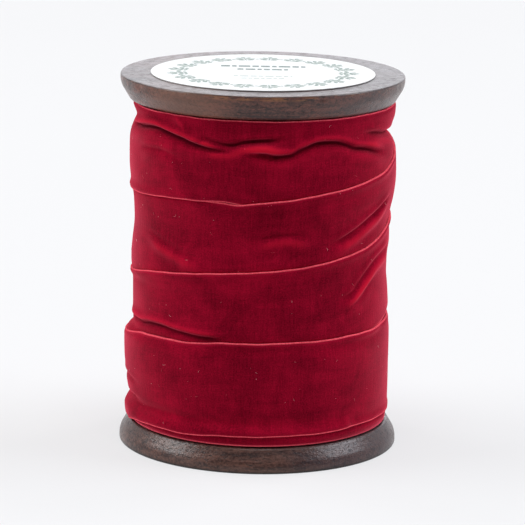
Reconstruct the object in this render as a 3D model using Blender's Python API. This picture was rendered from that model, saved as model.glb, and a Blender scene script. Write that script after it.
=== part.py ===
"""Ribbon spool: a stained wooden reel, wound with one length of velvet ribbon.

The reel stands on its base flange. The origin is the centre of its underside and +Z runs up its
axis. A wind angle is measured in degrees about +Z from the front (-Y), positive towards +X, and
keeps counting past 360 on the ribbon, which climbs as the angle grows. The ribbon was wound the
other way, downwards, so the free end is at the lowest angle and later turns lie over earlier ones.
"""

import math

import bmesh
import bpy

MM = 0.001

# Wooden reel
HEIGHT = 100.5 * MM
TOP_RADIUS = 38.0 * MM
BASE_RADIUS = 37.6 * MM
FLANGE_THICKNESS = 6.5 * MM
FACE_EDGE_ROUND = 0.8 * MM
RIM_FLAT = 0.4 * MM
RIM_ROUND = 5.0 * MM
RIM_TAPER = math.radians(31)
BARREL_RADIUS = 29.0 * MM
DOWEL_RADIUS = 4.5 * MM
DOWEL_SOCKET_DEPTH = 4.0 * MM
DOWEL_CHAMFER = 0.8 * MM
GAP = 0.3 * MM

# Paper label on the top face
LABEL_RADIUS = 30.0 * MM
LABEL_THICKNESS = 0.2 * MM
LABEL_GAP = 0.1 * MM

# Ribbon
RIBBON_WIDTH = 25.0 * MM
RIBBON_THICKNESS = 0.8 * MM
TURN_GAP = 0.25 * MM
LAYER = RIBBON_THICKNESS + TURN_GAP
OUTER_SEAT = 33.2 * MM  # radius under the first of the outer turns
HIDDEN_TURN_START = 1440.0  # wind angle where the outer turns come out of the inner layers
FIRST_FULL_TURN = 1080.0

# The outer turns' top edge: wind angle, height. The ribbon runs level under the top flange,
# comes down unevenly and ends level on the base flange.
TOP_EDGE_PATH = (
    (-250, 31.9),
    (-90, 31.9),
    (-60, 33.0),
    (0, 34.7),
    (90, 35.6),
    (180, 41.0),
    (280, 48.4),
    (360, 53.7),
    (420, 59.0),
    (450, 62.6),
    (540, 66.9),
    (640, 71.0),
    (720, 72.4),
    (780, 78.0),
    (810, 82.6),
    (900, 89.0),
    (1000, 93.4),
    (1040, 93.7),
    (1440, 93.7),
)

# How far the top edge stands outside the bottom edge, where a turn laps over the turn above it.
LEAN_PATH = (
    (-250, 0.2),
    (-150, 0.2),
    (-90, 1.54),
    (40, 1.54),
    (100, 0.2),
    (200, 0.2),
    (228, 1.3),
    (290, 1.54),
    (800, 1.54),
    (1000, 0.0),
    (1440, 0.0),
)

# The free end: hinged stretches of the last turn, from the wound part outwards.
TAIL_START = -160
TAIL_STRETCH = 30
TAIL_STRETCHES = 3
TAIL_AXIS_RADIUS = 36.5 * MM

# Double-sided tape under the ribbon's inner end
TAPE_THICKNESS = 0.2 * MM
TAPE_HEIGHT = 20.0 * MM
TAPE_START = 180
TAPE_ARC = 30

# Fineness of the meshes
ROUND_STEPS = 72
ARC_STEPS = 4
STRIP_STEP = 10  # degrees between the ribbon's cross-sections
MERGE_DISTANCE = 0.01 * MM
SHARP_ANGLE = math.radians(35)


def clear_scene():
    for thing in list(bpy.data.objects):
        bpy.data.objects.remove(thing, do_unlink=True)


def material(name, colour, roughness, metallic=0.0):
    made = bpy.data.materials.new(name)
    made.use_nodes = True
    shader = made.node_tree.nodes["Principled BSDF"]
    shader.inputs["Base Color"].default_value = (*colour, 1.0)
    shader.inputs["Roughness"].default_value = roughness
    shader.inputs["Metallic"].default_value = metallic
    return made


def add_object(name, mesh_maker, finish, origin=(0.0, 0.0, 0.0)):
    """Turns a bmesh in world coordinates into a named object whose origin is at the given point."""
    bmesh.ops.recalc_face_normals(mesh_maker, faces=mesh_maker.faces)
    bmesh.ops.translate(mesh_maker, verts=mesh_maker.verts, vec=[-c for c in origin])
    mesh = bpy.data.meshes.new(name)
    mesh_maker.to_mesh(mesh)
    mesh_maker.free()
    mesh.shade_smooth()
    mesh.set_sharp_from_angle(angle=SHARP_ANGLE)
    mesh.materials.append(finish)
    made = bpy.data.objects.new(name, mesh)
    made.location = origin
    bpy.context.scene.collection.objects.link(made)
    return made


def turned(profile):
    """Spins a closed profile of (radius, height) points about the Z axis."""
    shape = bmesh.new()
    points = [shape.verts.new((radius, 0.0, height)) for radius, height in profile]
    lines = []
    for start, end in zip(points, points[1:] + points[:1]):
        on_axis = start.co.x == 0.0 and end.co.x == 0.0
        if not on_axis:
            lines.append(shape.edges.new((start, end)))
    bmesh.ops.spin(
        shape,
        geom=points + lines,
        cent=(0.0, 0.0, 0.0),
        axis=(0.0, 0.0, 1.0),
        angle=math.tau,
        steps=ROUND_STEPS,
        use_merge=True,
    )
    bmesh.ops.remove_doubles(shape, verts=shape.verts, dist=MERGE_DISTANCE)
    return shape


def arc(centre, radius, start, end):
    """Points of a profile arc; angles in radians, from the radial direction towards +Z."""
    centre_radius, centre_height = centre
    angles = [start + (end - start) * step / ARC_STEPS for step in range(ARC_STEPS + 1)]
    return [(centre_radius + radius * math.cos(a), centre_height + radius * math.sin(a)) for a in angles]


def flange_profile(radius):
    """Half section of a flange lying face down at height 0, with its dowel socket above."""
    profile = [(0.0, 0.0)]
    profile += arc((radius - FACE_EDGE_ROUND, FACE_EDGE_ROUND), FACE_EDGE_ROUND, -math.pi / 2, 0.0)
    rim_top = FACE_EDGE_ROUND + RIM_FLAT
    profile += arc((radius - RIM_ROUND, rim_top), RIM_ROUND, 0.0, RIM_TAPER)
    taper_radius, taper_height = profile[-1]
    inner_radius = taper_radius - (FLANGE_THICKNESS - taper_height) * math.tan(RIM_TAPER)
    socket_radius = DOWEL_RADIUS + GAP
    socket_floor = FLANGE_THICKNESS - DOWEL_SOCKET_DEPTH
    profile += [
        (inner_radius, FLANGE_THICKNESS),
        (socket_radius, FLANGE_THICKNESS),
        (socket_radius, socket_floor),
        (0.0, socket_floor),
    ]
    return profile


def make_reel(wood, dowel_wood):
    base_profile = flange_profile(BASE_RADIUS)
    top_profile = [(r, HEIGHT - z) for r, z in flange_profile(TOP_RADIUS)]
    add_object("base_flange", turned(base_profile), wood)
    add_object("top_flange", turned(top_profile), wood)

    low = FLANGE_THICKNESS + GAP
    high = HEIGHT - FLANGE_THICKNESS - GAP
    bore = DOWEL_RADIUS + GAP
    barrel_profile = [(bore, low), (BARREL_RADIUS, low), (BARREL_RADIUS, high), (bore, high)]
    add_object("barrel", turned(barrel_profile), wood)

    low = FLANGE_THICKNESS - DOWEL_SOCKET_DEPTH + GAP
    high = HEIGHT - low
    waist = DOWEL_RADIUS - DOWEL_CHAMFER
    dowel_profile = [
        (0.0, low),
        (waist, low),
        (DOWEL_RADIUS, low + DOWEL_CHAMFER),
        (DOWEL_RADIUS, high - DOWEL_CHAMFER),
        (waist, high),
        (0.0, high),
    ]
    add_object("centre_dowel", turned(dowel_profile), dowel_wood)


def make_label(paper):
    low = HEIGHT + LABEL_GAP
    high = low + LABEL_THICKNESS
    profile = [(0.0, low), (LABEL_RADIUS, low), (LABEL_RADIUS, high), (0.0, high)]
    add_object("top_label", turned(profile), paper)


def along(path, angle):
    """Smoothly interpolated value of a path of (angle, millimetres) points, in metres."""
    last = len(path) - 1
    if angle <= path[0][0]:
        return path[0][1] * MM
    if angle >= path[last][0]:
        return path[last][1] * MM
    index = max(i for i in range(last) if path[i][0] <= angle)
    (a0, z0), (a1, z1) = path[index], path[index + 1]

    def slope(i):
        if i in (0, last):
            return 0.0
        before = (path[i][1] - path[i - 1][1]) / (path[i][0] - path[i - 1][0])
        after = (path[i + 1][1] - path[i][1]) / (path[i + 1][0] - path[i][0])
        return 0.0 if before * after <= 0 else 2 * before * after / (before + after)

    span = a1 - a0
    t = (angle - a0) / span
    start = (1 + 2 * t) * (1 - t) ** 2 * z0 + t * (1 - t) ** 2 * span * slope(index)
    end = t * t * (3 - 2 * t) * z1 + t * t * (t - 1) * span * slope(index + 1)
    return (start + end) * MM


def lift(angle):
    """How far the ribbon's bottom edge lies outside the seat, clear of the turn wound before it."""
    if angle >= HIDDEN_TURN_START:
        return 0.0
    floor = LAYER * min(1.0, (HIDDEN_TURN_START - angle) / (HIDDEN_TURN_START - FIRST_FULL_TURN))
    earlier = angle + 360
    drop = along(TOP_EDGE_PATH, earlier) - along(TOP_EDGE_PATH, angle)
    if earlier > HIDDEN_TURN_START or drop >= RIBBON_WIDTH:
        return floor
    share = drop / RIBBON_WIDTH
    lean, earlier_lean = along(LEAN_PATH, angle), along(LEAN_PATH, earlier)
    spare = min(lean * share, lean - earlier_lean * (1 - share))
    return max(floor, LAYER + lift(earlier) - spare)


def at_angle(radius, height, angle):
    turn = math.radians(angle)
    return (radius * math.sin(turn), -radius * math.cos(turn), height)


def strip(start_angle, end_angle, edges):
    """A curved strip from one wind angle to another; edges gives its section's corners at an angle."""
    steps = max(1, round((end_angle - start_angle) / STRIP_STEP))
    shape = bmesh.new()
    sections = []
    for step in range(steps + 1):
        angle = start_angle + (end_angle - start_angle) * step / steps
        sections.append([shape.verts.new(at_angle(r, z, angle)) for r, z in edges(angle)])
    shape.faces.new(sections[0])
    shape.faces.new(reversed(sections[-1]))
    for section, following in zip(sections, sections[1:]):
        for corner in range(len(section)):
            other = (corner + 1) % len(section)
            shape.faces.new((section[corner], following[corner], following[other], section[other]))
    return shape


def ribbon_section(angle):
    top = along(TOP_EDGE_PATH, angle)
    bottom = top - RIBBON_WIDTH
    inner_bottom = OUTER_SEAT + lift(angle)
    inner_top = inner_bottom + along(LEAN_PATH, angle)
    return (
        (inner_bottom, bottom),
        (inner_bottom + RIBBON_THICKNESS, bottom),
        (inner_top + RIBBON_THICKNESS, top),
        (inner_top, top),
    )


def make_inner_layers(velvet):
    """The turns under the outer ones, as one ring with a shoulder that makes room for the first."""
    low = FLANGE_THICKNESS + GAP
    high = HEIGHT - FLANGE_THICKNESS - GAP
    shoulder = high - RIBBON_WIDTH - 2 * GAP
    inside = BARREL_RADIUS + 2 * GAP + TAPE_THICKNESS
    narrow = OUTER_SEAT - GAP
    wide = narrow + LAYER
    profile = [
        (inside, low),
        (wide, low),
        (wide, shoulder),
        (narrow, shoulder),
        (narrow, high),
        (inside, high),
    ]
    add_object("ribbon_inner_layers", turned(profile), velvet)


def make_tape(tape):
    low = FLANGE_THICKNESS + 2 * GAP
    inner = BARREL_RADIUS + GAP
    outer = inner + TAPE_THICKNESS
    corners = ((inner, low), (outer, low), (outer, low + TAPE_HEIGHT), (inner, low + TAPE_HEIGHT))
    add_object("anchor_tape", strip(TAPE_START, TAPE_START + TAPE_ARC, lambda angle: corners), tape)


def make_ribbon(velvet):
    make_inner_layers(velvet)
    clearance = math.degrees(GAP / 2 / TAIL_AXIS_RADIUS)
    wound = strip(TAIL_START + clearance, HIDDEN_TURN_START, ribbon_section)
    add_object("ribbon_outer_turns", wound, velvet)
    for number in range(TAIL_STRETCHES):
        high_angle = TAIL_START - number * TAIL_STRETCH
        low_angle = high_angle - TAIL_STRETCH
        stretch = strip(low_angle + clearance, high_angle - clearance, ribbon_section)
        hinge = at_angle(TAIL_AXIS_RADIUS, 0.0, high_angle)
        add_object(f"ribbon_tail_{number + 1}", stretch, velvet, hinge)


def main():
    clear_scene()
    wood = material("walnut_stained_wood", (0.085, 0.048, 0.032), 0.45)
    dowel_wood = material("bare_beech", (0.55, 0.38, 0.22), 0.6)
    paper = material("label_paper", (0.86, 0.88, 0.87), 0.7)
    velvet = material("crimson_velvet", (0.36, 0.004, 0.02), 0.9)
    tape = material("clear_tape", (0.8, 0.8, 0.75), 0.3)
    make_reel(wood, dowel_wood)
    make_label(paper)
    make_tape(tape)
    make_ribbon(velvet)


main()
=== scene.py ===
"""Looks of the ribbon spool: a stained wooden reel with a paper label, wound with velvet ribbon.

Lengths are in millimetres until a mesh is made, and in metres in the scene and the materials. A
wind angle is in degrees about +Z from the front (-Y), positive towards +X, and keeps counting past
360 on the ribbon, which was wound in falling wind angles: the free end has the lowest one. Turn 0
is the band over the base flange at the front, and turn 3 the one under the top flange.
"""

import math
import random

import bmesh
import bpy
import numpy as np
from mathutils import Euler, Matrix, Vector


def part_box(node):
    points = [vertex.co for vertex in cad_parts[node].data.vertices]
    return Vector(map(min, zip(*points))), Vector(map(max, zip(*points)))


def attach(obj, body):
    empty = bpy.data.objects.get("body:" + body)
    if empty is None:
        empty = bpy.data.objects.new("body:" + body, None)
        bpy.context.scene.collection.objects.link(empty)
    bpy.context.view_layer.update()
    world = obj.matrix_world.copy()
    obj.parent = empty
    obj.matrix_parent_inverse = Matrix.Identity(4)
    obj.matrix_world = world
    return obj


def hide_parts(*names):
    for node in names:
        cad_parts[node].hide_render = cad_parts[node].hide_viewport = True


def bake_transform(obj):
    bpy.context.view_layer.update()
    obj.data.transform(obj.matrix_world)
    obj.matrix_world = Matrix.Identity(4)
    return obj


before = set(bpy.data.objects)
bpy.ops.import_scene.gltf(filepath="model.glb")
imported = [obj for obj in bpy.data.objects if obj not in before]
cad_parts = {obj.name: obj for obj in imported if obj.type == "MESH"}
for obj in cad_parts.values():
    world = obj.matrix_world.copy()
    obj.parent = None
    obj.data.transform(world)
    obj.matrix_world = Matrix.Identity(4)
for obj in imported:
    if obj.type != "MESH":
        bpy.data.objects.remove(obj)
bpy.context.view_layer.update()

MM = 0.001

# ---- Driving dimensions, read from the frame ----
TOP_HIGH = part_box("top_flange")[1]
BASE_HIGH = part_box("base_flange")[1]
LABEL_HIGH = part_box("top_label")[1]
BARREL_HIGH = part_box("barrel")[1]
HEIGHT = TOP_HIGH.z / MM
TOP_RADIUS = TOP_HIGH.x / MM
BASE_RADIUS = BASE_HIGH.x / MM
FLANGE_THICKNESS = BASE_HIGH.z / MM
BARREL_RADIUS = BARREL_HIGH.x / MM
LABEL_RADIUS = LABEL_HIGH.x / MM
LABEL_TOP = LABEL_HIGH.z / MM

# ---- Ribbon ----
WIDTH = 25.0
PILE = 0.8  # thickness of the velvet
CRUSHED = 0.60  # thickness of the turns wound over
AIR = 0.05  # between two turns
BARREL_SLACK = 0.3  # between the barrel and the first turn
CRUSH_FROM = 1262  # wind angle from which the ribbon is wound over
CRUSH_REACH = 15.0  # degrees to either side over which it thins
COARSE_FROM = 1260  # wind angle from which the ribbon is covered but for its top edge
LAST_SEEN_TURN = 4  # the turns from the free end to this one are seen from outside
COLUMN_STEP = 1.25  # degrees between cross-sections
COLUMNS = round(360 / COLUMN_STEP)
ROW_STEP = 0.25
ROWS = np.arange(0.0, HEIGHT + ROW_STEP, ROW_STEP)
OUTER_START = 1440  # where the outer pass comes out from under the top flange
INNER_START = 5240  # the end taped to the barrel
TAIL_CUTS = (-150, -175, -205, -250)  # ends of the tail's three stretches, the last one free
TAIL_LIFT = 1.2  # how far the free end stands off the winding
TAIL_LIFT_FROM, TAIL_LIFT_TO = 236.0, 250.0  # minus wind angle
MEAN_RADIUS = 35.0
UNEVEN = (9, 0.10, 9.0, 34.0)  # waves in the ribbon's face: how many, size, shortest, longest
UNEVEN_EDGE = (6, 0.07, 6.0, 26.0)  # the same for its edges
UNEVEN_SEED, EDGE_SEED = 40, 7
ROW_TOLERANCE = 0.01
LAP_HALF_HEIGHT = 0.7  # of the step where one turn laps over another
FREE_END_FADE = 3.0  # degrees over which that step ends at the free end
BRIDGE_ROWS, BRIDGE_SIGMA = 3, 2.2  # how far a turn bridges the steps under it, in rows
COLUMN_SIGMA = 1.4  # smoothing along the ribbon, in cross-sections
INNER_FACE_ROWS = round(5.0 / ROW_STEP)  # within these rows the inner face keeps behind a crease

# Wind angle, height of the top edge. Inwards from OUTER_START the ribbon runs up, down and up.
TOP_EDGE = (
    (-250, 31.9), (-104, 30.1), (-90, 30.2), (-78, 31.1), (-62, 32.8), (-35, 33.4), (-15, 34.4),
    (20, 34.9), (66, 35.3), (90, 35.9), (112, 38.2), (180, 43.2), (270, 47.4), (284, 48.4),
    (312, 51.0), (343, 53.0), (378, 54.7), (409, 57.4), (426, 59.7), (450, 63.4), (540, 66.4),
    (585, 67.9), (643, 71.2), (670, 71.7), (693, 72.1), (703, 71.9), (710, 71.5), (720, 72.3),
    (737, 73.4), (756, 75.0), (784, 77.5), (794, 79.5), (808, 82.6), (900, 89.0), (990, 93.3),
    (1080, 93.7), (1170, 93.8), (1440, 93.6), (2500, 31.95), (2860, 31.95), (3900, 93.5),
    (4180, 93.5), (5240, 32.6),
)

# Wind angle, visible width: narrower where the ribbon is puckered or its edge is tucked.
WIDTH_ALONG = (
    (-250, 25.0), (-110, 24.4), (-81, 24.2), (-61, 24.2), (-15, 25.0), (52, 25.2), (90, 26.0),
    (200, 25.0), (270, 24.6), (420, 24.6), (450, 25.6), (560, 25.0), (900, 25.0), (945, 23.3),
    (1003, 23.4), (1031, 22.55), (1053, 21.9), (1063, 21.65), (1070, 22.2), (1080, 23.2),
    (1100, 24.6), (1180, 25.0), (5240, 25.0),
)

# Between these angles of the front, the bottom edge of this turn lies over the next turn.
SWAP_FROM, SWAP_TO = -136.0, -9.0
SWAPPED_TURN = 3

# The turns that run along the base flange stand out at their lower edge.
FLARED_TURNS = (7, 8)
FLARED_BELOW = 32.6  # height of the top edge under which a turn runs along the base
FLARED_HEIGHT = 18.0
FLARE = 0.20  # past the outer layer's seat
FLARE_STEP = 0.75  # back in, above the last turn's bottom edge
FLARE_FADE, FLARE_FADE_FROM = 8.0, 9.0

# Height, radius of a single outer layer, at the left and at the right of the front.
LEFT_SIDE = (
    (5.5, 35.2), (7.4, 35.5), (9.1, 35.2), (10.6, 33.0), (12.5, 33.8), (15.9, 35.4), (20.0, 35.9),
    (24.0, 36.4), (29.0, 36.5), (30.4, 36.1), (31.4, 34.1), (38.0, 34.2), (46.0, 34.2),
    (50.0, 34.7), (54.4, 34.4), (60.0, 34.0), (67.6, 34.2), (72.0, 34.9), (78.0, 35.4),
    (84.0, 35.3), (95.0, 35.0),
)
RIGHT_SIDE = (
    (5.5, 35.3), (9.0, 35.0), (13.0, 35.2), (31.0, 35.2), (33.0, 35.0), (37.0, 34.9),
    (42.6, 34.7), (47.6, 34.3), (53.0, 34.3), (57.5, 34.7), (60.5, 34.4), (64.2, 34.6),
    (69.0, 35.5), (75.0, 36.1), (80.0, 36.0), (84.0, 35.7), (95.0, 35.7),
)
# Where a band is drawn in: angle, height, reach round the reel, reach in height, depth.
PINCHES = (
    (-122.0, 29.5, 17.0, 3.2, 2.2),
    (-98.0, 89.8, 30.0, 2.6, 2.1),
    (-92.0, 86.4, 24.0, 2.2, 0.6),
    (98.0, 86.2, 34.0, 3.0, 3.1),
)

# Folds across the bands. Turn, (angle, height) path of the crease, depth of the crease, how far
# the ribbon stands out above it and below it.
FOLDS = (
    (3, ((-86, 87.2), (-78, 87.4), (-70, 87.7), (-60, 88.5), (-52, 88.9), (-46, 88.3), (-40, 87.7),
         (-36, 87.2), (-31, 86.4), (-27, 86.0), (-23, 85.7), (-10, 85.2)), 1.6, 1.0, 0.4),
    (3, ((-31, 86.9), (-24, 88.1), (-20, 87.4), (-13, 86.9), (-7, 87.9), (-1, 88.3), (4, 88.5),
         (13, 90.0)), 1.3, 0.35, 0.9),
    (3, ((-10, 84.7), (1, 84.9), (6, 84.2), (12, 84.4), (16, 85.7), (20, 86.6), (24, 87.4),
         (28, 87.5), (33, 87.3), (38, 86.4), (43, 85.2), (50, 84.4), (66, 82.3)), 1.4, 0.85, 0.5),
    (3, ((-42, 92.0), (-37, 90.0), (-33, 88.2)), 0.0, 0.75, 0.0),
    (3, ((46, 88.9), (53, 88.5), (66, 87.3), (76, 86.6), (88, 86.2)), 1.2, 0.4, 0.6),
    (3, ((-66, 82.6), (-50, 83.4), (-34, 81.8)), 0.35, 0.35, 0.3),
    (2, ((30, 59.6), (36, 60.7), (43, 62.1), (51, 64.1), (61, 66.8), (74, 69.6)), 0.8, 0.35, 0.9),
    (2, ((-7, 61.2), (-1, 62.0), (5, 63.1), (11, 63.6), (17, 63.2), (27, 61.7)), 0.5, 0.2, 0.8),
    (2, ((-62, 60.9), (-52, 59.6), (-42, 57.9), (-32, 56.2), (-22, 55.2)), 0.25, 0.15, 0.8),
    (1, ((-88, 35.2), (-78, 34.9), (-66, 34.8), (-59, 35.4), (-49, 35.9), (-42, 35.6), (-36, 35.3),
         (-24, 34.9), (-12, 35.0)), 1.1, 0.9, 0.0),
    (1, ((82, 55.6), (68, 54.6), (61, 53.3), (54, 50.5), (49, 48.1), (44, 45.6),
         (35, 45.2)), 0.75, 0.4, 0.9),
    (1, ((62, 49.0), (54, 46.6), (47, 43.8), (40, 42.0)), 0.4, 0.35, 0.2),
    (0, ((-95, 18.4), (-80, 18.7), (-62, 18.3)), 0.5, 0.2, 0.2),
    (0, ((-95, 12.9), (-82, 13.0), (-64, 13.8)), 0.7, 0.2, 0.3),
)
CREASE_OFFSET, CREASE_HALF_WIDTH = 0.15, 0.62
CREST_OFFSET, CREST_HALF_WIDTH = 1.5, 0.95
SLOPE_OFFSET, SLOPE_HALF_WIDTH = 2.0, 1.7
FOLD_FADE = 12.0  # degrees over which a fold fades at its ends, at most
HIGHLIGHT_PER_MM, FULL_SHADE_DEPTH = 0.55, 1.5  # painted highlight per mm of a fold's height, and the crease depth painted fully dark


def through(points, x):
    """Monotone cubic curve through (x, y) points, read at the values x."""
    xs, ys = np.array(points, float).T
    x = np.clip(np.asarray(x, float), xs[0], xs[-1])
    steps = np.diff(xs)
    slopes = np.diff(ys) / steps
    tangents = np.zeros(len(xs))
    product = slopes[:-1] * slopes[1:]
    total = slopes[:-1] + slopes[1:]
    tangents[1:-1] = np.where(product > 0, 2 * product / np.where(total == 0, 1, total), 0.0)
    i = np.clip(np.searchsorted(xs, x, side="right") - 1, 0, len(xs) - 2)
    t = (x - xs[i]) / steps[i]
    start = (1 + 2 * t) * (1 - t) ** 2 * ys[i] + t * (1 - t) ** 2 * steps[i] * tangents[i]
    end = t * t * (3 - 2 * t) * ys[i + 1] + t * t * (t - 1) * steps[i] * tangents[i + 1]
    return start + end


def smoothstep(low, high, x):
    t = np.clip((x - low) / (high - low), 0.0, 1.0)
    return t * t * (3 - 2 * t)


def blurred(values, sigma, axis):
    """Gaussian blur along one axis; the ends are held."""
    reach = max(1, int(round(3 * sigma)))
    kernel = np.exp(-0.5 * (np.arange(-reach, reach + 1) / sigma) ** 2)
    kernel /= kernel.sum()
    pad = [(0, 0)] * values.ndim
    pad[axis] = (reach, reach)
    padded = np.pad(values, pad, mode="edge")
    size = values.shape[axis]
    out = np.zeros_like(values)
    for shift, weight in enumerate(kernel):
        window = [slice(None)] * values.ndim
        window[axis] = slice(shift, shift + size)
        out += weight * padded[tuple(window)]
    return out


def widest(values, reach):
    """Largest value within reach cells along the last axis."""
    padded = np.pad(values, ((0, 0), (reach, reach)), mode="edge")
    size = values.shape[-1]
    return np.max([padded[:, shift:shift + size] for shift in range(2 * reach + 1)], axis=0)


# Distance from an edge, thickness: the cord of the selvedge, then the cut pile.
SELVEDGE = (
    (0.00, 0.16), (0.05, 0.44), (0.13, 0.58), (0.23, 0.60), (0.34, 0.52), (0.44, 0.54),
    (0.60, 0.66), (0.85, 0.76), (1.10, 0.80),
)
MIDDLE_POINTS = 54
EDGE_DISTANCES = np.array([distance for distance, _ in SELVEDGE])
MIDDLE = np.linspace(EDGE_DISTANCES[-1], WIDTH - EDGE_DISTANCES[-1], MIDDLE_POINTS + 2)[1:-1]
OUTSIDE = np.concatenate([EDGE_DISTANCES, MIDDLE, (WIDTH - EDGE_DISTANCES)[::-1]])
INSIDE = np.array([0.15, 1.5, 5.0, 10.0, 15.0, 20.0, WIDTH - 1.5, WIDTH - 0.15])


def add_object(name, data, finish=None):
    if finish:
        data.materials.append(finish)
    made = bpy.data.objects.new(name, data)
    bpy.context.scene.collection.objects.link(made)
    return made


def thickness(across):
    """Thickness of the ribbon at a distance across it."""
    return through(SELVEDGE, np.minimum(across, WIDTH - across))


def crush(wind_angle):
    """Share of its thickness that the ribbon keeps at a wind angle."""
    wound_over = smoothstep(CRUSH_FROM - CRUSH_REACH, CRUSH_FROM + CRUSH_REACH, wind_angle)
    return 1.0 - (1.0 - CRUSHED / PILE) * wound_over


def waves(angle, height, seed, count, size, shortest, longest):
    """Smooth random unevenness in millimetres."""
    rng = np.random.default_rng(seed)
    total = np.zeros(np.broadcast(angle, height).shape)
    for _ in range(count):
        length = rng.uniform(shortest, longest)
        direction = rng.uniform(0, math.pi)
        phase = rng.uniform(0, math.tau)
        along = np.radians(angle) * MEAN_RADIUS * math.cos(direction)
        total += np.sin(math.tau * (along + height * math.sin(direction)) / length + phase)
    return size * total / math.sqrt(count)


def seat(angle, height):
    """Radius under a single outer layer."""
    side = 0.5 + 0.5 * np.sin(np.radians(angle))
    left = through(LEFT_SIDE, height)
    right = through(RIGHT_SIDE, height)
    radius = left * (1 - side) + right * side - PILE
    for centre, middle, round_reach, height_reach, depth in PINCHES:
        away = (angle - centre + 180.0) % 360.0 - 180.0
        distance = (away / round_reach) ** 2 + ((height - middle) / height_reach) ** 2
        radius = radius - depth * np.exp(-distance)
    return radius


def fold_relief(turn, angles, height):
    """How far a turn's folds stand out and their painted light, on a grid of columns and rows.

    A crease is painted dark (towards -1) and the cloth beside it painted bright (towards 1).
    """
    relief = np.zeros((len(angles), len(height)))
    shade = np.zeros((len(angles), len(height)))
    for folded_turn, path, depth, above, below in FOLDS:
        if folded_turn != turn:
            continue
        ordered = sorted(path)
        first, last = ordered[0][0], ordered[-1][0]
        fade = min(FOLD_FADE, (last - first) / 3)
        ends = smoothstep(first, first + fade, angles) * smoothstep(-last, -last + fade, -angles)
        away = height - through(ordered, angles)[:, None]
        in_crease = np.exp(-(((away - CREASE_OFFSET) / CREASE_HALF_WIDTH) ** 2))
        crease = -depth * in_crease
        over = above * np.exp(-(((away - CREST_OFFSET) / CREST_HALF_WIDTH) ** 2))
        under = below * np.exp(-(((away + SLOPE_OFFSET) / SLOPE_HALF_WIDTH) ** 2))
        relief += ends[:, None] * (crease + over + under)
        # painted highlight on the fold's rises and painted shade in its crease
        shade += ends[:, None] * (HIGHLIGHT_PER_MM * (over + under) - depth * in_crease / FULL_SHADE_DEPTH)
    return relief, np.clip(shade, -1.0, 1.0)


def wind():
    """Lays the turns one over the other, from the barrel outwards.

    Returns, for each turn, the radius of its underside on a grid of columns and rows, and the
    painted shade and highlight on the turns with folds.
    """
    angles = -180.0 + COLUMN_STEP * np.arange(COLUMNS)
    surface = np.full((COLUMNS, len(ROWS)), BARREL_RADIUS + BARREL_SLACK)
    undersides = {}
    shades = {}
    swap = (angles > SWAP_FROM) & (angles < SWAP_TO)
    everywhere = np.ones(COLUMNS, bool)
    jobs = []
    for turn in range(math.floor((INNER_START + 180) / 360), -2, -1):
        if turn == SWAPPED_TURN:
            jobs += [(turn, ~swap), (turn - 1, swap), (turn, swap), (turn - 1, ~swap)]
        elif turn != SWAPPED_TURN - 1:
            jobs.append((turn, everywhere))
    for turn, chosen in jobs:
        wind_angle = angles + 360.0 * turn
        laid = chosen & (wind_angle <= INNER_START) & (wind_angle >= TAIL_CUTS[-1])
        top = through(TOP_EDGE, wind_angle)
        bottom = top - through(WIDTH_ALONG, wind_angle)
        covered = ROWS >= bottom[:, None] - ROW_TOLERANCE
        covered &= ROWS <= top[:, None] + ROW_TOLERANCE
        across = (ROWS - bottom[:, None]) * WIDTH / (top - bottom)[:, None]
        under = surface + AIR
        hidden = wind_angle[:, None] > CRUSH_FROM
        if turn <= LAST_SEEN_TURN:
            wanted = seat(angles[:, None], ROWS)
            wanted = wanted + waves(angles[:, None], ROWS, UNEVEN_SEED + turn, *UNEVEN)
            # pressed in where the next turn lies over it
            next_top = through(TOP_EDGE, wind_angle - 360.0)
            lapped = smoothstep(-LAP_HALF_HEIGHT, LAP_HALF_HEIGHT, next_top[:, None] - ROWS)
            before_end = wind_angle - 360.0 - TAIL_CUTS[-1]
            lapped = lapped * smoothstep(-FREE_END_FADE, FREE_END_FADE, before_end)[:, None]
            wanted = wanted - (PILE + AIR) * lapped
            under = np.where(hidden, under, np.maximum(under, wanted))
        elif turn in FLARED_TURNS:
            last_bottom = (through(TOP_EDGE, angles) - through(WIDTH_ALONG, angles))[:, None]
            flared = seat(angles[:, None], ROWS) + FLARE
            flared = flared - FLARE_STEP * smoothstep(-0.6, 0.4, ROWS - last_bottom)
            flared = flared - FLARE_FADE * smoothstep(FLARE_FADE_FROM, FLARED_HEIGHT, ROWS)
            at_base = (top < FLARED_BELOW)[:, None] & (ROWS < FLARED_HEIGHT)
            under = np.where(at_base, np.maximum(under, flared), under)
        # the ribbon bridges the steps under it
        lowest_row = np.argmax(covered, axis=1)
        highest_row = covered.shape[1] - 1 - np.argmax(covered[:, ::-1], axis=1)
        held = under.copy()
        for column in range(COLUMNS):
            low, high = lowest_row[column], highest_row[column]
            held[column, :low] = held[column, low]
            held[column, high + 1:] = held[column, high]
        held = blurred(widest(held, BRIDGE_ROWS), BRIDGE_SIGMA, 1)
        if turn <= LAST_SEEN_TURN:
            relief, shades[turn] = fold_relief(turn, angles, ROWS)
            held = held + np.where(hidden, 0.0, relief)
            held = np.where(covered, np.maximum(held, surface + AIR), held)
        if turn in undersides:
            undersides[turn][laid] = held[laid]
        else:
            undersides[turn] = held
        thick = thickness(np.clip(across, 0.0, WIDTH)) * crush(wind_angle)[:, None]
        outside = np.where(covered & laid[:, None], held + thick, 0.0)
        surface = np.maximum(surface, outside)
    return undersides, shades


UNDERSIDES, SHADES = wind()
DEEPEST = {turn: -widest(-underside, INNER_FACE_ROWS) for turn, underside in UNDERSIDES.items()}


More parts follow.
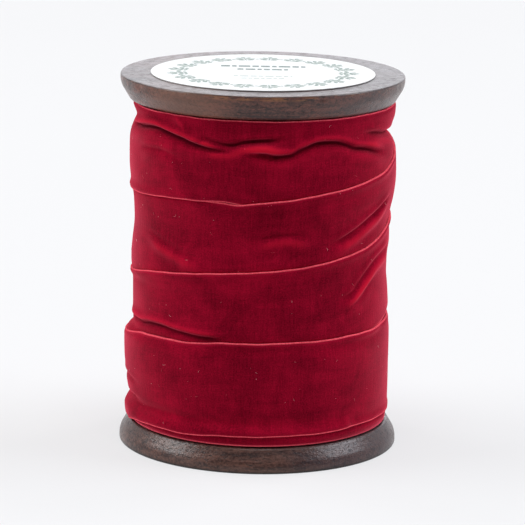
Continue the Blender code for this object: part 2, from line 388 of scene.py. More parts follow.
def sections(start, end, column_skip=1):
    """Wind angles, top and bottom edges of the ribbon between two wind angles."""
    fine_end = min(end, COARSE_FROM)
    fine = np.arange(start, fine_end, COLUMN_STEP * column_skip)
    coarse = np.arange(max(start, COARSE_FROM), end + 0.01, COLUMN_STEP * max(2, column_skip))
    wind_angle = np.unique(np.concatenate([fine, coarse, [end]]))
    top = through(TOP_EDGE, wind_angle)
    bottom = top - through(WIDTH_ALONG, wind_angle)
    return wind_angle, top, bottom


def read_grid(grids, wind_angle, heights):
    """Values from the grids of each turn, for one row of heights at each wind angle."""
    turn = np.floor((wind_angle + 180.0) / 360.0).astype(int)
    column = np.round((wind_angle + 180.0 - 360.0 * turn) / COLUMN_STEP).astype(int) % COLUMNS
    values = np.zeros_like(heights)
    for index in range(len(wind_angle)):
        if int(turn[index]) in grids:
            values[index] = np.interp(heights[index], ROWS, grids[int(turn[index])][column[index]])
    return values


def length_along(wind_angle, radius):
    """Length of the ribbon from the free end to each section, in metres."""
    steps = np.radians(np.diff(wind_angle)) * 0.5 * (radius[1:] + radius[:-1]) * MM
    return np.concatenate([[0.0], np.cumsum(steps)])


def ribbon_mesh(
    name, start, end, finish, outside=OUTSIDE, inside=INSIDE, column_skip=1, hidden=False
):
    """The ribbon between two wind angles as one closed strip, with a map of length and width."""
    wind_angle, top, bottom = sections(start, end, column_skip)
    across = np.concatenate([outside, inside[::-1]])
    heights = bottom[:, None] + (top - bottom)[:, None] * across / WIDTH
    radius = read_grid(UNDERSIDES, wind_angle, heights)
    # the few points of the inner face keep behind the deepest crease between them
    between_edges = slice(len(outside) + 1, len(across) - 1)
    radius[:, between_edges] = read_grid(DEEPEST, wind_angle, heights[:, between_edges])
    radius = blurred(radius, COLUMN_SIGMA, 0)
    thick = np.zeros(len(across))
    thick[:len(outside)] = thickness(outside)
    radius = radius + thick * crush(wind_angle)[:, None]
    if not hidden:
        level = np.zeros_like(heights)
        heights = heights + waves(wind_angle[:, None], level, EDGE_SEED, *UNEVEN_EDGE)
        lifted = smoothstep(TAIL_LIFT_FROM, TAIL_LIFT_TO, -wind_angle)
        radius = radius + TAIL_LIFT * lifted[:, None]
    turn = np.radians(wind_angle)[:, None]
    points = np.stack([radius * np.sin(turn), -radius * np.cos(turn), heights], axis=-1) * MM
    count, loop = points.shape[:2]
    faces = []
    for row in range(count - 1):
        for k in range(loop):
            nxt = (k + 1) % loop
            a, b = row * loop + k, (row + 1) * loop + k
            c, d = (row + 1) * loop + nxt, row * loop + nxt
            faces.append((a, b, c, d))
    faces.append(tuple(range(loop)))
    faces.append(tuple((count - 1) * loop + k for k in reversed(range(loop))))
    mesh = bpy.data.meshes.new(name)
    mesh.from_pydata(points.reshape(-1, 3).tolist(), [], faces)
    # length from the free end and distance across, in metres, for the pile and the selvedge
    whole_angle, whole_top, whole_bottom = sections(TAIL_CUTS[-1], end)
    middle = ((whole_top + whole_bottom) / 2)[:, None]
    whole_length = length_along(whole_angle, read_grid(UNDERSIDES, whole_angle, middle)[:, 0])
    length = np.interp(wind_angle, whole_angle, whole_length)
    uv_of_vertex = np.stack(np.broadcast_arrays(length[:, None], across * MM), axis=-1)
    uv_of_vertex = uv_of_vertex.reshape(-1, 2)
    layer = mesh.uv_layers.new(name="ribbon")
    corners = np.zeros(len(mesh.loops), int)
    mesh.loops.foreach_get("vertex_index", corners)
    layer.data.foreach_set("uv", uv_of_vertex[corners].astype(np.float32).ravel())
    # painted shade and highlight of the folds, read by the velvet's colour
    folds = mesh.attributes.new("folds", "FLOAT", "POINT")
    state = read_grid(SHADES, wind_angle, heights).astype(np.float32)
    folds.data.foreach_set("value", state.ravel())
    mesh.shade_smooth()
    for cut_end in mesh.polygons[-2:]:
        cut_end.use_smooth = False
        for loop_index in cut_end.loop_indices:
            mesh.edges[mesh.loops[loop_index].edge_index].use_edge_sharp = True
    return add_object(name, mesh, finish), float(length[-1] - length[0])


# ---- Node helpers ----
class Nodes:
    """A material's node tree, with short calls for the nodes used here."""

    def __init__(self, name):
        self.material = bpy.data.materials.new(name)
        self.material.use_nodes = True
        self.tree = self.material.node_tree
        self.shader = self.tree.nodes["Principled BSDF"]

    def put(self, socket, value):
        if isinstance(value, bpy.types.NodeSocket):
            self.tree.links.new(value, socket)
        else:
            socket.default_value = value

    def set(self, **values):
        for name, value in values.items():
            self.put(self.shader.inputs[name.replace("_", " ").title()], value)

    def fix(self, name, value):
        """A value that is the same all over the surface."""
        self.shader.inputs[name].default_value = value

    def node(self, kind, **settings):
        made = self.tree.nodes.new("ShaderNode" + kind)
        for key, value in settings.items():
            setattr(made, key, value)
        return made

    def math(self, operation, *values, clamp=False):
        made = self.node("Math", operation=operation, use_clamp=clamp)
        for socket, value in zip(made.inputs, values):
            self.put(socket, value)
        return made.outputs[0]

    def between(self, value, low, high, to_low=0.0, to_high=1.0):
        """Smooth ramp from to_low at low to to_high at high."""
        made = self.node("MapRange", interpolation_type="SMOOTHSTEP")
        for socket, number in zip(made.inputs, (value, low, high, to_low, to_high)):
            self.put(socket, number)
        return made.outputs[0]

    def mix(self, factor, first, second):
        made = self.node("Mix", data_type="RGBA")
        self.put(made.inputs[0], factor)
        for socket, value in zip(made.inputs[6:8], (first, second)):
            if not isinstance(value, bpy.types.NodeSocket):
                value = (*value, 1.0)
            self.put(socket, value)
        return made.outputs[2]

    def noise(self, vector, scale, detail=2.0, roughness=0.5, distortion=0.0):
        made = self.node("TexNoise")
        self.put(made.inputs["Vector"], vector)
        made.inputs["Scale"].default_value = scale
        made.inputs["Detail"].default_value = detail
        made.inputs["Roughness"].default_value = roughness
        made.inputs["Distortion"].default_value = distortion
        return made.outputs[0]

    def vary(self, tone, noise, amount):
        """The tone, raised and lowered by a noise."""
        return self.math("MULTIPLY_ADD", self.math("SUBTRACT", noise, 0.5), amount, tone)

    def scaled(self, vector, scale):
        made = self.node("Mapping")
        self.put(made.inputs["Vector"], vector)
        made.inputs["Scale"].default_value = scale
        return made.outputs[0]

    def place(self):
        """Position on the piece, in metres."""
        return self.node("TexCoord").outputs["Object"]

    def split(self, vector):
        made = self.node("SeparateXYZ")
        self.put(made.inputs[0], vector)
        return made.outputs

    def bump(self, height, strength, distance, before=None):
        made = self.node("Bump")
        made.inputs["Strength"].default_value = strength
        made.inputs["Distance"].default_value = distance
        self.put(made.inputs["Height"], height)
        if before is not None:
            self.put(made.inputs["Normal"], before)
        return made.outputs[0]


# ---- Materials ----
def velvet_material():
    n = Nodes("crimson_velvet")
    flat = n.node("UVMap", uv_map="ribbon").outputs[0]
    _, across, _ = n.split(flat)
    place = n.place()
    edge = n.math("MINIMUM", across, n.math("SUBTRACT", WIDTH * MM, across))
    ribs = n.noise(n.scaled(flat, (1900.0, 170.0, 1.0)), 1.0, 2.0, 0.6)
    pile = n.noise(flat, 2600.0, 2.0, 0.7)
    crushed = n.noise(place, 75.0, 4.0, 0.62, 0.9)
    streak = n.noise(n.scaled(flat, (70.0, 420.0, 1.0)), 1.0, 3.0, 0.6, 0.8)
    dark, light = (0.093, 0.0005, 0.0063), (0.374, 0.0037, 0.0256)
    tone = n.vary(0.42, ribs, 0.55)
    tone = n.vary(tone, pile, 1.3)
    tone = n.vary(tone, crushed, 1.1)
    tone = n.vary(tone, streak, 0.45)
    # painted highlight beside the folds and painted shade in their creases
    folds = n.node("Attribute", attribute_name="folds").outputs["Fac"]
    fold_highlight = n.between(folds, 0.0, 0.7)
    tone = n.math("MULTIPLY_ADD", fold_highlight, 0.55, tone, clamp=True)
    body = n.mix(tone, dark, light)
    # painted highlight colour on the crests, painted shade colour in the creases
    crest, crease = (0.58, 0.010, 0.026), (0.030, 0.0003, 0.004)
    body = n.mix(n.between(folds, 0.20, 0.85, 0.0, 0.6), body, crest)
    body = n.mix(n.between(folds, -0.75, -0.05, 0.76, 0.0), body, crease)
    loops = n.noise(n.scaled(flat, (2600.0, 900.0, 1.0)), 1.0, 1.0)
    cord = n.mix(loops, (0.50, 0.022, 0.045), (0.95, 0.130, 0.180))
    on_cord = n.between(edge, 0.00030, 0.00042, 1.0, 0.0)
    beside = n.between(edge, 0.00042, 0.00100, 0.40, 0.0)
    colour = n.mix(beside, body, (0.36, 0.006, 0.030))
    colour = n.mix(on_cord, colour, cord)
    height = n.math("MULTIPLY_ADD", ribs, 0.5, n.math("MULTIPLY", pile, 0.6))
    normal = n.bump(height, 0.5, 0.00016)
    normal = n.bump(loops, 0.25, 0.00010, normal)
    n.set(base_color=colour, roughness=n.between(tone, 0.0, 1.0, 0.98, 0.85), normal=normal)
    n.fix("Specular IOR Level", 0.0)
    n.fix("Sheen Weight", 1.0)
    n.fix("Sheen Roughness", 0.38)
    n.fix("Sheen Tint", (1.0, 0.13, 0.20, 1.0))
    return n.material


def wood_material(name, polish, light):
    """Dark stained wood; polish is the weight of the wax on it, and light its palest colour."""
    n = Nodes(name)
    place = n.place()
    x, y, z = n.split(place)
    grain = n.noise(n.scaled(place, (60.0, 560.0, 1100.0)), 1.0, 4.0, 0.65, 0.35)
    broad = n.noise(n.scaled(place, (20.0, 120.0, 170.0)), 1.0, 3.0, 0.55, 0.9)
    speckle = n.noise(n.scaled(place, (1300.0, 1700.0, 1700.0)), 1.0, 3.0, 0.7)
    pores = n.noise(n.scaled(place, (420.0, 1900.0, 1900.0)), 1.0, 2.0, 0.5)
    pits = n.between(pores, 0.60, 0.68)
    blotch = n.noise(place, 70.0, 3.0, 0.6)
    tone = n.math("MULTIPLY_ADD", grain, 0.70, n.math("MULTIPLY", broad, 0.55))
    tone = n.vary(tone, speckle, 0.80)
    tone = n.between(tone, 0.40, 0.84)
    dark, bare = (0.024, 0.0110, 0.0102), (0.30, 0.125, 0.048)
    stain, pore = (0.038, 0.021, 0.020), (0.010, 0.006, 0.006)
    colour = n.mix(tone, dark, light)
    colour = n.mix(n.between(blotch, 0.50, 0.75, 0.0, 0.45), colour, stain)
    colour = n.mix(n.math("MULTIPLY", pits, 0.75), colour, pore)
    # worn through to the wood along the edge of each outer face
    radius = n.math("SQRT", n.math("MULTIPLY_ADD", x, x, n.math("MULTIPLY", y, y)))
    rim = n.between(radius, (TOP_RADIUS - 0.7) * MM, (TOP_RADIUS - 0.10) * MM)
    upper_face = n.between(z, (HEIGHT - 1.5) * MM, (HEIGHT - 0.6) * MM)
    lower_face = n.between(z, 0.0003, 0.0018, 1.0, 0.0)
    face = n.math("MAXIMUM", upper_face, n.math("MULTIPLY", lower_face, 0.6))
    front = n.between(y, -0.0368, -0.0340, 0.09, 0.0)
    flakes = n.noise(n.scaled(place, (190.0, 420.0, 1900.0)), 1.0, 4.0, 0.75)
    patches = n.between(n.math("ADD", flakes, front), 0.56, 0.64)
    worn = n.math("MULTIPLY", n.math("MULTIPLY", rim, face), patches)
    colour = n.mix(n.math("MULTIPLY", worn, 0.70), colour, bare)
    # painted light makes the left of the top rim lighter, and a painted reflection its right
    # greyer
    brown, grey, blue_reflection = (0.23, 0.105, 0.066), (0.078, 0.058, 0.060), (0.026, 0.021, 0.031)
    foot_shade, face_shade = (0.006, 0.004, 0.004), (0.010, 0.007, 0.009)
    left_of_rim = n.between(x, -0.035, -0.024)
    left_of_rim = n.math("MULTIPLY", left_of_rim, n.between(x, -0.018, -0.002, 1.0, 0.0))
    lighter = n.math("MULTIPLY", left_of_rim, n.between(z, 0.060, 0.094, 0.0, 0.42))
    colour = n.mix(lighter, colour, brown)
    right_of_rim = n.between(x, 0.006, 0.030, 0.0, 0.5)
    greyer = n.math("MULTIPLY", right_of_rim, n.between(z, 0.060, 0.094))
    colour = n.mix(greyer, colour, grey)
    # a painted reflection makes the wood bluer low on the right, and a painted shadow darkens the
    # foot where it meets the table
    right = n.between(x, 0.002, 0.024, 0.0, 0.55)
    bluer = n.math("MULTIPLY", right, n.between(z, 0.020, 0.060, 1.0, 0.0))
    colour = n.mix(bluer, colour, blue_reflection)
    colour = n.mix(n.between(z, 0.0002, 0.0010, 0.9, 0.0), colour, foot_shade)
    # painted shade: the top face is darker
    top_face = n.between(z, (HEIGHT - 0.5) * MM, (HEIGHT - 0.1) * MM, 0.0, 0.65)
    colour = n.mix(top_face, colour, face_shade)
    shine = n.noise(place, 320.0, 3.0, 0.65)
    rough = n.math("MULTIPLY_ADD", shine, 0.34, 0.16)
    rough = n.math("MULTIPLY_ADD", pits, 0.25, rough, clamp=True)
    peel = n.noise(place, 1300.0, 2.0, 0.55)
    height = n.math("MULTIPLY_ADD", pits, -0.8, n.math("MULTIPLY", grain, 0.4))
    height = n.math("MULTIPLY_ADD", peel, 1.2, height)
    n.set(base_color=colour, roughness=rough, normal=n.bump(height, 0.5, 0.00018))
    n.fix("IOR", 1.50)
    n.fix("Specular IOR Level", 0.32)
    n.fix("Coat Weight", polish)
    n.fix("Coat Roughness", 0.22)
    return n.material


def beech_material():
    n = Nodes("bare_beech")
    place = n.place()
    grain = n.noise(n.scaled(place, (420.0, 420.0, 26.0)), 1.0, 4.0, 0.6, 0.3)
    flecks = n.between(n.noise(n.scaled(place, (900.0, 900.0, 240.0)), 1.0), 0.6, 0.7)
    colour = n.mix(grain, (0.40, 0.25, 0.13), (0.62, 0.44, 0.27))
    colour = n.mix(n.math("MULTIPLY", flecks, 0.5), colour, (0.30, 0.17, 0.08))
    n.set(base_color=colour, roughness=0.62, normal=n.bump(grain, 0.3, 0.00015))
    return n.material


def paper_material():
    n = Nodes("label_paper")
    place = n.place()
    x, y, _ = n.split(place)
    fibres = n.noise(place, 1500.0, 3.0, 0.6)
    cloud = n.noise(place, 90.0, 3.0, 0.5)
    colour = n.mix(fibres, (0.605, 0.615, 0.62), (0.66, 0.67, 0.675))
    colour = n.mix(n.between(cloud, 0.45, 0.75, 0.0, 0.35), colour, (0.60, 0.605, 0.60))
    radius = n.math("SQRT", n.math("MULTIPLY_ADD", x, x, n.math("MULTIPLY", y, y)))
    handled = n.between(radius, (LABEL_RADIUS - 1.0) * MM, LABEL_RADIUS * MM, 0.0, 0.5)
    colour = n.mix(handled, colour, (0.66, 0.66, 0.64))
    n.set(base_color=colour, roughness=0.8, normal=n.bump(fibres, 0.2, 0.00006))
    n.fix("Specular IOR Level", 0.2)
    return n.material


def ink_material(name, dark, light):
    """Printed ink, thin in places so that the paper shows."""
    n = Nodes(name)
    place = n.place()
    grain = n.noise(place, 2600.0, 2.0, 0.6)
    faded = n.noise(place, 380.0, 2.0)
    colour = n.mix(n.between(grain, 0.35, 0.75), dark, light)
    colour = n.mix(n.between(faded, 0.5, 0.8, 0.0, 0.5), colour, light)
    n.set(base_color=colour, roughness=0.55)
    return n.material


def tape_material():
    n = Nodes("clear_tape")
    smear = n.noise(n.place(), 300.0, 3.0, 0.6)
    colour = n.mix(smear, (0.70, 0.68, 0.58), (0.84, 0.83, 0.76))
    n.set(base_color=colour, roughness=n.between(smear, 0.3, 0.7, 0.2, 0.45))
    return n.material


def lint_material():
    n = Nodes("pale_lint")
    tone = n.between(n.noise(n.place(), 400.0, 1.0), 0.35, 0.65)
    n.set(base_color=n.mix(tone, (0.50, 0.075, 0.095), (0.78, 0.45, 0.48)), roughness=0.9)
    return n.material


def floor_material():
    n = Nodes("pale_floor")
    cloud = n.noise(n.place(), 3.0, 2.0)
    n.set(base_color=n.mix(cloud, (0.230, 0.230, 0.232), (0.240, 0.240, 0.242)), roughness=0.9)
    n.fix("Specular IOR Level", 0.0)
    n.fix("Emission Color", (0.98, 0.985, 1.0, 1.0))
    n.fix("Emission Strength", 0.58)
    return n.material


# ---- Reel ----
ROUND_STEPS = 256
FACE_EDGE_ROUND = 0.4
RIM_FLAT = 0.6
RIM_ROUND = 5.0
RIM_TAPER = math.radians(31)
SHARP_FROM = math.radians(40)
FACE_RINGS = (0.6, 6.0, 12.0, 18.0, 24.0, 29.0, 32.0, 34.5)
INNER_RINGS = (30.0, 20.0, 10.0, 0.6)
RIM_WOBBLE, WOBBLE_SEED = 0.05, 5  # out of round, shared out over these waves round the rim
WOBBLE_ORDERS = (2, 3, 5, 9)

# Small dents in the rims: angle, height from the face, width, depth.
TOP_DENTS = (
    (24.0, 1.0, 0.9, 0.35), (-58.0, 0.9, 1.6, 0.22), (71.0, 1.2, 1.2, 0.18),
    (160.0, 1.0, 1.4, 0.3), (-140.0, 1.4, 1.0, 0.2),
)
BASE_DENTS = (
    (-24.0, 1.2, 1.3, 0.2), (38.0, 1.6, 1.6, 0.16), (120.0, 1.0, 1.5, 0.3),
    (-110.0, 1.3, 1.2, 0.2),
)


def arc(centre, radius, start, end, steps):
    angles = [start + (end - start) * step / steps for step in range(steps + 1)]
    return [(centre[0] + radius * math.cos(a), centre[1] + radius * math.sin(a)) for a in angles]


def flange_profile(radius):
    """(radius, height) points of a flange lying face down, from its centre round the rim."""
    profile = [(r, 0.0) for r in (*FACE_RINGS, radius - 1.6)]
    edge_centre = (radius - FACE_EDGE_ROUND, FACE_EDGE_ROUND)
    profile += arc(edge_centre, FACE_EDGE_ROUND, -math.pi / 2, 0.0, 8)
    rim_top = FACE_EDGE_ROUND + RIM_FLAT
    profile += arc((radius - RIM_ROUND, rim_top), RIM_ROUND, 0.0, RIM_TAPER, 10)
    taper_radius, taper_height = profile[-1]
    inner_radius = taper_radius - (FLANGE_THICKNESS - taper_height) * math.tan(RIM_TAPER)
    for s in (0.25, 0.5, 0.75, 0.96):
        r = taper_radius + (inner_radius - taper_radius) * s
        profile.append((r, taper_height + (FLANGE_THICKNESS - taper_height) * s))
    profile += [(inner_radius - 0.25, FLANGE_THICKNESS), (inner_radius - 1.0, FLANGE_THICKNESS)]
    profile += [(r, FLANGE_THICKNESS) for r in INNER_RINGS]
    return profile


def flange_piece(name, radius, face_up, dents, finish):
    """A turned flange with small dents in its rim."""
    profile = np.array(flange_profile(radius))
    angles = np.linspace(0, math.tau, ROUND_STEPS, endpoint=False)
    r = np.repeat(profile[None, :, 0], ROUND_STEPS, axis=0)
    t = np.repeat(profile[None, :, 1], ROUND_STEPS, axis=0)
    degrees = np.degrees((angles + math.pi) % math.tau - math.pi)[:, None]
    outer = smoothstep(radius - 6.0, radius - 0.5, r)
    rng = np.random.default_rng(WOBBLE_SEED)
    for order in WOBBLE_ORDERS:
        phase = rng.uniform(0, math.tau)
        r = r + outer * RIM_WOBBLE / order * np.sin(order * angles[:, None] + phase)
    for angle, depth_from_face, width, depth in dents:
        reach = ((degrees - angle) * math.pi / 180 * radius / width) ** 2
        reach = reach + ((t - depth_from_face) / (0.6 * width)) ** 2
        r = r - outer * depth * np.exp(-reach)
    z = HEIGHT - t if face_up else t
    points = np.stack([r * np.sin(angles)[:, None], -r * np.cos(angles)[:, None], z], axis=-1) * MM
    count, rows = points.shape[:2]
    faces = []
    for a in range(count):
        b = (a + 1) % count
        for k in range(rows - 1):
            quad = (a * rows + k, b * rows + k, b * rows + k + 1, a * rows + k + 1)
            faces.append(quad if face_up else quad[::-1])
    first_ring = tuple(a * rows for a in range(count))
    last_ring = tuple(a * rows + rows - 1 for a in range(count))
    faces.append(first_ring[::-1] if face_up else first_ring)
    faces.append(last_ring if face_up else last_ring[::-1])
    return solid_piece(name, points.reshape(-1, 3).tolist(), faces, finish)


def solid_piece(name, points, faces, finish):
    """A smooth closed piece with its corners kept sharp."""
    mesh = bpy.data.meshes.new(name)
    mesh.from_pydata(points, [], faces)
    shape = bmesh.new()
    shape.from_mesh(mesh)
    bmesh.ops.recalc_face_normals(shape, faces=shape.faces)
    shape.to_mesh(mesh)
    shape.free()
    mesh.shade_smooth()
    mesh.set_sharp_from_angle(angle=SHARP_FROM)
    return add_object(name, mesh, finish)


# ---- Label ----
LABEL_RINGS = (0.5, 6, 12, 18, 23, 26, 28, 29, 29.6, LABEL_RADIUS)
LABEL_STEPS = 192
LABEL_CURL, CURL_FROM = 0.10, 26.0
PAPER_SURFACE, PAPER_UNDERSIDE = LABEL_TOP - 0.1, HEIGHT + 0.02
PRINT_LOW, PRINT_HEIGHT = LABEL_TOP - 0.11, 0.02
MOTIFS = 21
SPRIG_SIZE = 1.2
WREATH_RADIUS = 0.755 * LABEL_RADIUS

# Rows of dashes: height on the label and half width as shares of its radius, bar height, dash
# lengths in turn, gap.
DARK_DASHES = (
    (0.33, 0.38, 2.3, (2.4, 1.2, 3.1, 1.7), 0.6),
    (0.16, 0.23, 2.1, (1.6, 2.6, 1.1), 0.6),
)
PALE_DASHES = (
    (-0.21, 0.26, 1.3, (1.1, 2.2, 1.6), 0.6),
    (-0.33, 0.19, 1.1, (1.4, 0.9), 0.5),
)
SHORTEST_DASH = 0.4


def label_sheet(finish):
    """The paper disc, with a hair of curl along its rim."""
    rings, steps = LABEL_RINGS, LABEL_STEPS
    upper, lower = [], []
    for ring in rings:
        for step in range(steps):
            a = math.tau * step / steps
            rim = smoothstep(CURL_FROM, LABEL_RADIUS, ring)
            curl = LABEL_CURL * rim * (0.6 + 0.4 * math.sin(2 * a + 0.7))
            x, y = ring * math.sin(a), -ring * math.cos(a)
            upper.append((x, y, PAPER_SURFACE + curl))
            lower.append((x, y, PAPER_UNDERSIDE + curl))
    points = [tuple(c * MM for c in p) for p in upper + lower]
    faces = []
    size = len(rings) * steps
    for k in range(len(rings) - 1):
        for step in range(steps):
            nxt = (step + 1) % steps
            a, b = k * steps + step, k * steps + nxt
            c, d = (k + 1) * steps + nxt, (k + 1) * steps + step
            faces.append((a, d, c, b))
            faces.append((size + a, size + b, size + c, size + d))
    faces.append(tuple(range(steps)))
    faces.append(tuple(size + k for k in reversed(range(steps))))
    last = (len(rings) - 1) * steps
    for step in range(steps):
        nxt = (step + 1) % steps
        faces.append((last + step, size + last + step, size + last + nxt, last + nxt))
    return solid_piece("label_paper_disc", points, faces, finish)


def add_blot(shape, outline):
    """A thin raised shape on the label, from its outline of (x, y) points in millimetres."""
    low, high = PRINT_LOW, PAPER_SURFACE + PRINT_HEIGHT
    bottom = [shape.verts.new((x * MM, y * MM, low * MM)) for x, y in outline]
    top = [shape.verts.new((x * MM, y * MM, high * MM)) for x, y in outline]
    shape.faces.new(top)
    shape.faces.new(bottom[::-1])
    for k in range(len(outline)):
        nxt = (k + 1) % len(outline)
        shape.faces.new((bottom[k], bottom[nxt], top[nxt], top[k]))


def leaf_outline(centre, length, width, direction, points=10):
    """A pointed oval around a centre."""
    outline = []
    for k in range(points):
        a = math.tau * k / points
        along, side = math.cos(a) * length / 2, math.sin(a) * width / 2 * abs(math.sin(a)) ** 0.4
        x = centre[0] + along * math.cos(direction) - side * math.sin(direction)
        y = centre[1] + along * math.sin(direction) + side * math.cos(direction)
        outline.append((x, y))
    return outline


def shape_piece(name, shape, finish):
    mesh = bpy.data.meshes.new(name)
    bmesh.ops.recalc_face_normals(shape, faces=shape.faces)
    shape.to_mesh(mesh)
    shape.free()
    return add_object(name, mesh, finish)


def wreath(finish):
    """A ring of plain sprigs, each a stem with paired leaves and a bud."""
    shape = bmesh.new()
    for motif in range(MOTIFS):
        a = math.tau * motif / MOTIFS
        outward = (math.cos(a), math.sin(a))
        aside = (-math.sin(a) * SPRIG_SIZE, math.cos(a) * SPRIG_SIZE)
        facing = math.atan2(outward[1], outward[0])

        def spot(out, side):
            radius = WREATH_RADIUS + SPRIG_SIZE * out
            return (outward[0] * radius + aside[0] * side, outward[1] * radius + aside[1] * side)

        def leaf(out, side, length, width, direction):
            length, width = SPRIG_SIZE * length, SPRIG_SIZE * width
            add_blot(shape, leaf_outline(spot(out, side), length, width, direction))

        leaf(-0.2, 0, 4.0, 0.4, facing)
        leaf(2.0, 0, 1.3, 1.1, facing)
        for side in (-1, 1):
            leaf(1.1, 1.0 * side, 2.0, 0.95, facing + 0.75 * side)
            leaf(-0.3, 1.4 * side, 2.4, 1.05, facing + 1.10 * side)
            leaf(-1.5, 1.1 * side, 1.7, 0.8, facing + 1.35 * side)
        between = a + math.pi / MOTIFS
        dot_radius = WREATH_RADIUS - 0.3
        dot = (dot_radius * math.cos(between), dot_radius * math.sin(between))
        add_blot(shape, leaf_outline(dot, 0.8, 0.9, between))
    return shape_piece("label_sprig_ring", shape, finish)


def dash_rows(name, rows, finish):
    """Rows of plain dashes in the place of text."""
    shape = bmesh.new()
    for height, half_width, bar, lengths, gap in rows:
        x = -half_width * LABEL_RADIUS
        index = 0
        while x < half_width * LABEL_RADIUS:
            length = min(lengths[index % len(lengths)], half_width * LABEL_RADIUS - x)
            y = height * LABEL_RADIUS
            low, high = y - bar / 2, y + bar / 2
            if length > SHORTEST_DASH:
                add_blot(shape, ((x, low), (x + length, low), (x + length, high), (x, high)))
            x += length + gap
            index += 1
    return shape_piece(name, shape, finish)


# ---- Lint ----
LINT_COUNT, LINT_SEED = 240, 12
LINT_SEGMENTS = 4
LINT_OUTSIDE = 34.2  # lint sits only on faces at least this far from the axis
LINT_LEFT_OF = -0.012  # right of this x, in metres, half the lint is left out
SPECK_SHARE = 0.55  # of the lint; the rest is fibres


def lint_piece(winding, finish):
    """Short pale fibres and specks caught on the pile, more of them on the left."""
    rng = random.Random(LINT_SEED)
    shape = bmesh.new()
    mesh = winding.data
    sides = range(len(mesh.polygons) - 2)  # all faces but the two cut ends
    placed = 0
    while placed < LINT_COUNT:
        polygon = mesh.polygons[rng.choice(sides)]
        centre, normal = polygon.center, polygon.normal
        radial = Vector((centre.x, centre.y, 0.0))
        outwards = radial.normalized().dot(normal)
        if radial.length < LINT_OUTSIDE * MM or outwards < 0.8:
            continue
        if centre.x > LINT_LEFT_OF and rng.random() < 0.5:
            continue
        side = normal.cross(Vector((0, 0, 1))).normalized()
        up = side.cross(normal)
        tilt = rng.uniform(0, math.tau)
        speck = rng.random() < SPECK_SHARE
        length = rng.uniform(0.10, 0.22) if speck else rng.uniform(0.4, 1.3)
        girth = rng.uniform(0.05, 0.09) if speck else rng.uniform(0.022, 0.035)
        bend = rng.uniform(-0.5, 0.5)
        base = centre + normal * 0.03 * MM
        last = None
        for k in range(LINT_SEGMENTS + 1):
            s = k / LINT_SEGMENTS - 0.5
            direction = tilt + bend * s * 2
            along = side * math.cos(direction) + up * math.sin(direction)
            middle = base + along * length * s * MM
            thick = girth * (1.0 - 1.2 * abs(s)) * MM
            across = side * -math.sin(direction) + up * math.cos(direction)
            ring = [
                shape.verts.new(middle + across * thick),
                shape.verts.new(middle + normal * thick),
                shape.verts.new(middle - across * thick),
                shape.verts.new(middle - normal * thick),
            ]
            if last:
                for c in range(4):
                    shape.faces.new((last[c], last[(c + 1) % 4], ring[(c + 1) % 4], ring[c]))
            else:
                shape.faces.new(ring)
            last = ring
        shape.faces.new(last[::-1])
        placed += 1
    return shape_piece("ribbon_lint", shape, finish)


# ---- Stage ----
CAMERA_PLACE = (0.0007, -0.8555, 0.2402)
CAMERA_DOWN = math.radians(12.62)
CAMERA_ROLL = 0.017
LENS, SENSOR = 222.2, 36.0
FRONT_LIGHT, BACK_LIGHT = 0.08, 0.78  # brightness of the studio in front of and behind the reel
LIGHT_TARGET = Vector((0.0, 0.0, 0.05))
FLOOR_REACH = 9.0


def make_camera():
    data = bpy.data.cameras.new("camera")
    data.lens = LENS
    data.sensor_width = SENSOR
    data.clip_start = 0.05
    data.clip_end = 50.0
    camera = add_object("camera", data)
    look = Euler((math.pi / 2 - CAMERA_DOWN, 0.0, 0.0)).to_matrix().to_4x4()
    roll = Matrix.Rotation(CAMERA_ROLL, 4, "Z")
    camera.matrix_world = Matrix.Translation(CAMERA_PLACE) @ look @ roll
    bpy.context.scene.camera = camera


def softbox(name, place, size, power, colour=(1.0, 1.0, 1.0)):
    data = bpy.data.lights.new(name, "AREA")
    data.shape = "RECTANGLE"
    data.size, data.size_y = size
    data.energy = power
    data.color = colour
    light = add_object(name, data)
    light.location = place
    aim = LIGHT_TARGET - Vector(place)
    light.rotation_euler = aim.to_track_quat("-Z", "Y").to_euler()
    light.visible_camera = False


def make_stage():
    world = bpy.data.worlds.new("studio")
    world.use_nodes = True
    tree = world.node_tree
    background = tree.nodes["Background"]
    background.inputs["Color"].default_value = (0.965, 0.972, 1.0, 1.0)
    direction = tree.nodes.new("ShaderNodeTexCoord")
    parts = tree.nodes.new("ShaderNodeSeparateXYZ")
    brightness = tree.nodes.new("ShaderNodeMapRange")
    brightness.interpolation_type = "SMOOTHSTEP"
    for socket, number in zip(brightness.inputs[1:5], (-0.8, 0.9, FRONT_LIGHT, BACK_LIGHT)):
        socket.default_value = number
    tree.links.new(direction.outputs["Generated"], parts.inputs[0])
    tree.links.new(parts.outputs[1], brightness.inputs[0])
    tree.links.new(brightness.outputs[0], background.inputs["Strength"])
    bpy.context.scene.world = world
    softbox("left_softbox", (-2.5, -0.1, 1.9), (2.0, 1.4), 60.0)
    softbox("left_fill", (-1.5, -0.8, 0.25), (0.9, 0.6), 2.0)
    softbox("right_softbox", (2.5, -0.05, 2.0), (2.0, 1.4), 66.0, (0.91, 0.94, 1.0))
    softbox("left_overhead", (-1.5, 1.1, 2.6), (0.7, 0.7), 16.0)
    softbox("right_overhead", (1.5, 1.1, 2.6), (0.7, 0.7), 17.5)
    softbox("top_softbox", (0.0, -0.9, 3.0), (1.6, 1.0), 31.0)
    softbox("back_card", (0.0, 3.2, 0.60), (3.0, 1.0), 12.0, (0.92, 0.94, 1.0))
    mesh = bpy.data.meshes.new("floor")
    signs = ((-1, -1), (1, -1), (1, 1), (-1, 1))
    corners = [(x * FLOOR_REACH, y * FLOOR_REACH, 0.0) for x, y in signs]
    mesh.from_pydata(corners, [], [(0, 1, 2, 3)])
    floor = add_object("floor", mesh, floor_material())
    bpy.context.scene.view_settings.view_transform = "Standard"


# ---- The object ----
make_camera()
make_stage()

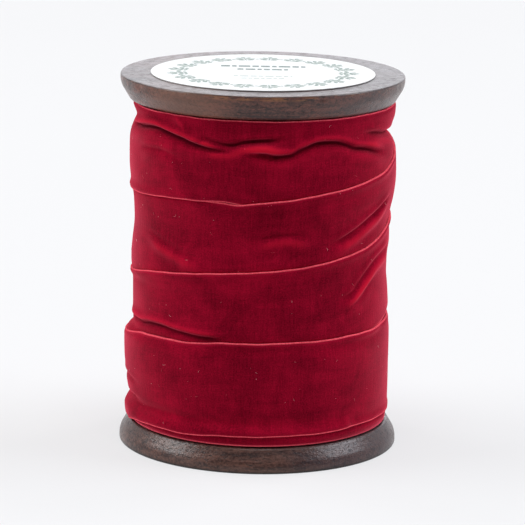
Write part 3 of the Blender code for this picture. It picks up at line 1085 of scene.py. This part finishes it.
WARM_BROWN, GREY_BROWN = (0.152, 0.051, 0.036), (0.124, 0.060, 0.046)
wood = wood_material("walnut_stained_wood", 0.23, WARM_BROWN)
duller_wood = wood_material("walnut_stained_wood_base", 0.14, GREY_BROWN)
velvet = velvet_material()

top_piece = flange_piece("reel_top", TOP_RADIUS, True, TOP_DENTS, wood)
base_piece = flange_piece("reel_base", BASE_RADIUS, False, BASE_DENTS, duller_wood)
for piece, node in ((top_piece, "top_flange"), (base_piece, "base_flange")):
    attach(piece, "spool")
    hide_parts(node)

cad_finishes = (
    ("barrel", wood), ("centre_dowel", beech_material()), ("anchor_tape", tape_material()),
)
for node, finish in cad_finishes:
    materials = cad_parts[node].data.materials
    materials.clear()
    materials.append(finish)

label = label_sheet(paper_material())
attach(label, "spool")
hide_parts("top_label")
green_ink = ink_material("leaf_ink", (0.13, 0.18, 0.16), (0.33, 0.40, 0.36))
dark_ink = ink_material("dash_ink", (0.10, 0.14, 0.13), (0.24, 0.30, 0.28))
pale_ink = ink_material("pale_dash_ink", (0.30, 0.35, 0.33), (0.50, 0.54, 0.52))
prints = (
    wreath(green_ink),
    dash_rows("label_dashes_dark", DARK_DASHES, dark_ink),
    dash_rows("label_dashes_pale", PALE_DASHES, pale_ink),
)
for piece in prints:
    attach(piece, "spool")

winding, winding_length = ribbon_mesh("velvet_winding", TAIL_CUTS[0], OUTER_START, velvet)
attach(winding, "spool")
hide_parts("ribbon_outer_turns")

inner_outside, inner_inside = np.linspace(0.0, WIDTH, 13), np.linspace(0.0, WIDTH, 7)
inner_turns, inner_length = ribbon_mesh(
    "velvet_inner_turns", OUTER_START, INNER_START, velvet, inner_outside, inner_inside,
    column_skip=4, hidden=True,
)
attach(inner_turns, "spool")
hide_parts("ribbon_inner_layers")

HINGE_ANGLES = (-160.0, -190.0, -220.0)


for index, (start, end, hinge) in enumerate(zip(TAIL_CUTS, TAIL_CUTS[1:], HINGE_ANGLES)):
    tail, tail_length = ribbon_mesh(f"velvet_tail_{index + 1}", end, start, velvet)
    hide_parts(f"ribbon_tail_{index + 1}")
    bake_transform(tail)

lint = lint_piece(winding, lint_material())
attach(lint, "spool")
